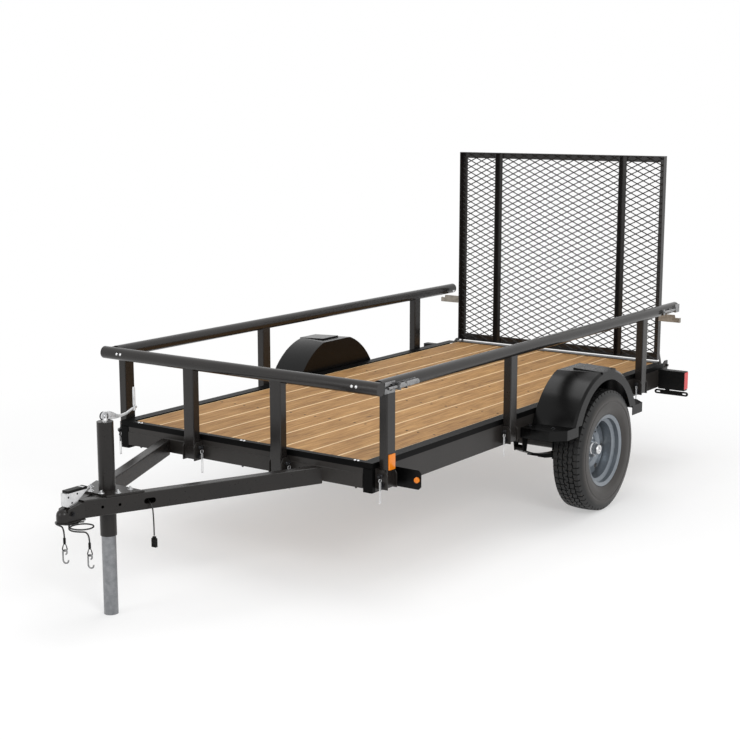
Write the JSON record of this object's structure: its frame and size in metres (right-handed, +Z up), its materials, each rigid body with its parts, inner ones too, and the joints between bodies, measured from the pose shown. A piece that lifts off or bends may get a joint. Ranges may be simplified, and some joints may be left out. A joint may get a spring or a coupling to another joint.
{
  "type": "utility trailer",
  "caption": "Single-axle utility trailer with a planked deck, fold-down tube rails, a mesh loading ramp, an A-frame tongue, ball coupler and tongue jack.",
  "frame": {"origin": "on the ground under the middle of the trailer's box, cords left out", "axes": "+X forwards to the coupler, +Y to the trailer's left side, +Z up"},
  "size_m": [4.254, 2.012, 1.828],
  "materials": {
    "grey_paint": "satin powder coat, dark grey",
    "black_paint": "satin black paint",
    "zinc": "bright zinc plate",
    "wood": "treated softwood planks, oiled",
    "tyre_rubber": "matt rubber",
    "wheel_paint": "silver-grey paint",
    "black_plastic": "moulded black plastic",
    "red_lens": "moulded red lens",
    "amber_lens": "moulded amber lens",
    "cord_jacket": "black cord jacket"
  },
  "bodies": {
    "chassis": {"axle_beam": "grey_paint", "cable_anchors": "zinc", "cable_hook_left": "zinc", "cable_hook_right": "zinc", "corner_caps": "black_plastic", "coupler": "black_paint", "coupler_lever": "zinc", "deck_boards": "wood", "deck_crossmembers": "grey_paint", "deck_edging": "black_paint", "fender_brackets": "black_paint", "fender_left": "black_paint", "fender_right": "black_paint", "front_crossmember": "grey_paint", "jack_crank": "zinc", "jack_mount_plate": "grey_paint", "jack_tube": "grey_paint", "lamp_bracket_left": "black_paint", "lamp_bracket_right": "black_paint", "leaf_spring_left": "black_paint", "leaf_spring_right": "black_paint", "rail_brackets": "grey_paint", "ramp_hinge_lugs": "grey_paint", "rear_crossmember": "grey_paint", "safety_cable_left": "cord_jacket", "safety_cable_right": "cord_jacket", "safety_coil_left": "cord_jacket", "safety_coil_right": "cord_jacket", "side_frame_left": "grey_paint", "side_frame_right": "grey_paint", "side_marker_brackets": "black_paint", "side_marker_lamps": "amber_lens", "spring_hangers": "black_paint", "tail_lamp_left": "red_lens", "tail_lamp_right": "red_lens", "tongue_tube_left": "grey_paint", "tongue_tube_right": "grey_paint", "wiring_lead": "cord_jacket", "wiring_plug": "black_plastic"},
    "wheel_left": {"wheel_left": "wheel_paint", "tyre_left": "tyre_rubber", "hub_left": "zinc"},
    "wheel_right": {"wheel_right": "wheel_paint", "tyre_right": "tyre_rubber", "hub_right": "zinc"},
    "rail_left": {"side_rail_left": "grey_paint", "rail_latches_left": "zinc"},
    "rail_right": {"side_rail_right": "grey_paint", "rail_latches_right": "zinc"},
    "rail_front": {"front_rail": "grey_paint"},
    "ramp": {"ramp_frame": "grey_paint", "ramp_mesh": "grey_paint", "ramp_latch_plates": "zinc"},
    "jack_leg": {"jack_leg": "grey_paint"}
  },
  "joints": [
    {"name": "wheel_left_spin", "type": "hinge", "parent": "chassis", "child": "wheel_left", "pos_m": [-0.808, 0.92, 0.325], "axis": [0, 1, 0], "continuous": true},
    {"name": "wheel_right_spin", "type": "hinge", "parent": "chassis", "child": "wheel_right", "pos_m": [-0.808, -0.92, 0.325], "axis": [0, 1, 0], "continuous": true},
    {"name": "rail_left_fold", "type": "hinge", "parent": "chassis", "child": "rail_left", "pos_m": [1.007, 0.789, 0.491], "axis": [-1, 0, 0], "range_deg": [0, 125]},
    {"name": "rail_right_fold", "type": "hinge", "parent": "chassis", "child": "rail_right", "pos_m": [1.007, -0.789, 0.491], "axis": [1, 0, 0], "range_deg": [0, 125]},
    {"name": "rail_front_fold", "type": "hinge", "parent": "chassis", "child": "rail_front", "pos_m": [1.034, 0, 0.491], "axis": [0, 1, 0], "range_deg": [0, 70]},
    {"name": "ramp_fold", "type": "hinge", "parent": "chassis", "child": "ramp", "pos_m": [-2.113, 0, 0.568], "axis": [0, -1, 0], "range_deg": [0, 117]},
    {"name": "jack_slide", "type": "slide", "parent": "chassis", "child": "jack_leg", "axis": [0, 0, 1], "range_m": [0, 0.285]}
  ]
}
